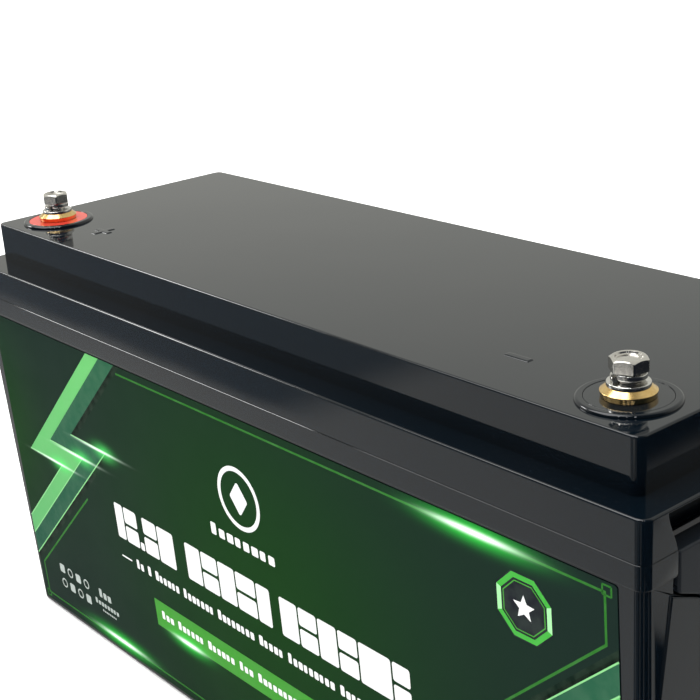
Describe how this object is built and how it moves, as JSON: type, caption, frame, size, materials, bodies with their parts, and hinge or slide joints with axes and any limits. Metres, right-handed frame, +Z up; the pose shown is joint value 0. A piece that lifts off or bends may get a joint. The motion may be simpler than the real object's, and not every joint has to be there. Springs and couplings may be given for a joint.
{
  "type": "deep cycle battery",
  "caption": "Sealed deep cycle battery with a drafted black case, stepped lid, bolted brass terminals, green front label and a fold-out handle at each end.",
  "frame": {"origin": "centre of the case's footprint, on the surface it stands on", "axes": "+X along the case towards the negative terminal, -Y towards the labelled side, +Z up"},
  "size_m": [0.483, 0.178, 0.256],
  "materials": {
    "case_plastic": "glossy black moulded ABS with a faint blue cast",
    "handle_plastic": "satin black moulded polypropylene",
    "label_film": "printed green vinyl film",
    "red_plastic": "glossy red moulded plastic",
    "disc_plastic": "glossy black moulded plastic",
    "post_brass": "turned brass",
    "stainless_bolt": "bright stainless steel",
    "washer_steel": "bright stainless steel",
    "pin_steel": "zinc plated steel",
    "seal_rubber": "black rubber",
    "copper": "bare copper",
    "cell_film": "aluminium can in blue film",
    "cell_aluminium": "bare aluminium",
    "insulation_sheet": "glass fibre epoxy sheet",
    "foam": "dark closed-cell foam",
    "circuit_board": "green circuit board",
    "module_board": "blue circuit board",
    "chip_plastic": "black moulded component",
    "connector_plastic": "off-white nylon",
    "foam_tape": "white foam tape",
    "red_insulation": "red silicone insulation",
    "black_insulation": "black silicone insulation"
  },
  "bodies": {
    "battery": {"container": "case_plastic", "lid": "case_plastic", "lid_seal": "seal_rubber", "front_label": "label_film", "positive_disc": "red_plastic", "negative_disc": "disc_plastic", "positive_post": "post_brass", "negative_post": "post_brass", "post_seals": "seal_rubber", "post_nuts": "post_brass", "post_lugs": "copper", "cell_lugs": "copper", "cell_1": "cell_film", "cell_2": "cell_film", "cell_3": "cell_film", "cell_4": "cell_film", "cell_terminals": "cell_aluminium", "cell_separators": "insulation_sheet", "end_plates": "cell_aluminium", "pack_straps": "pin_steel", "busbars": "copper", "busbar_nuts": "pin_steel", "base_pad": "foam", "side_pads": "foam", "end_pad": "foam", "top_pad": "foam", "bms_board": "circuit_board", "bms_transistors": "chip_plastic", "bms_heat_sink": "cell_aluminium", "bms_standoffs": "post_brass", "bms_screws": "pin_steel", "bms_power_blocks": "post_brass", "sense_connector": "connector_plastic", "sense_wires": "red_insulation", "temperature_probe": "chip_plastic", "wireless_board": "module_board", "wireless_tape": "foam_tape", "positive_cable": "red_insulation", "cell_negative_cable": "black_insulation", "negative_cable": "black_insulation"},
    "left_handle": {"left_handle": "handle_plastic", "left_hinge_pins": "pin_steel"},
    "right_handle": {"right_handle": "handle_plastic", "right_hinge_pins": "pin_steel"},
    "positive_washers": {"positive_flat_washer": "washer_steel", "positive_lock_washer": "washer_steel"},
    "positive_bolt": {"positive_bolt": "stainless_bolt"},
    "negative_washers": {"negative_flat_washer": "washer_steel", "negative_lock_washer": "washer_steel"},
    "negative_bolt": {"negative_bolt": "stainless_bolt"}
  },
  "joints": [
    {"name": "right_handle_fold", "type": "hinge", "parent": "battery", "child": "right_handle", "pos_m": [0.2355, 0, 0.1945], "axis": [0, -1, 0], "range_deg": [0, 140]},
    {"name": "left_handle_fold", "type": "hinge", "parent": "battery", "child": "left_handle", "pos_m": [-0.2355, 0, 0.1945], "axis": [0, 1, 0], "range_deg": [0, 140]},
    {"name": "positive_bolt_lift", "type": "slide", "parent": "battery", "child": "positive_washers", "axis": [0, 0, 1], "range_m": [0, 0.01201]},
    {"name": "positive_bolt_turn", "type": "hinge", "parent": "positive_washers", "child": "positive_bolt", "pos_m": [-0.204, -0.0515, 0.25], "axis": [0, 0, 1], "range_deg": [0, 3456]},
    {"name": "negative_bolt_lift", "type": "slide", "parent": "battery", "child": "negative_washers", "axis": [0, 0, 1], "range_m": [0, 0.01201]},
    {"name": "negative_bolt_turn", "type": "hinge", "parent": "negative_washers", "child": "negative_bolt", "pos_m": [0.204, -0.0515, 0.25], "axis": [0, 0, 1], "range_deg": [0, 3456]}
  ],
  "couplings": [
    {"joint": "positive_bolt_lift", "follows": "positive_bolt_turn", "m_per_rad": 0.00019894},
    {"joint": "negative_bolt_lift", "follows": "negative_bolt_turn", "m_per_rad": 0.00019894}
  ]
}
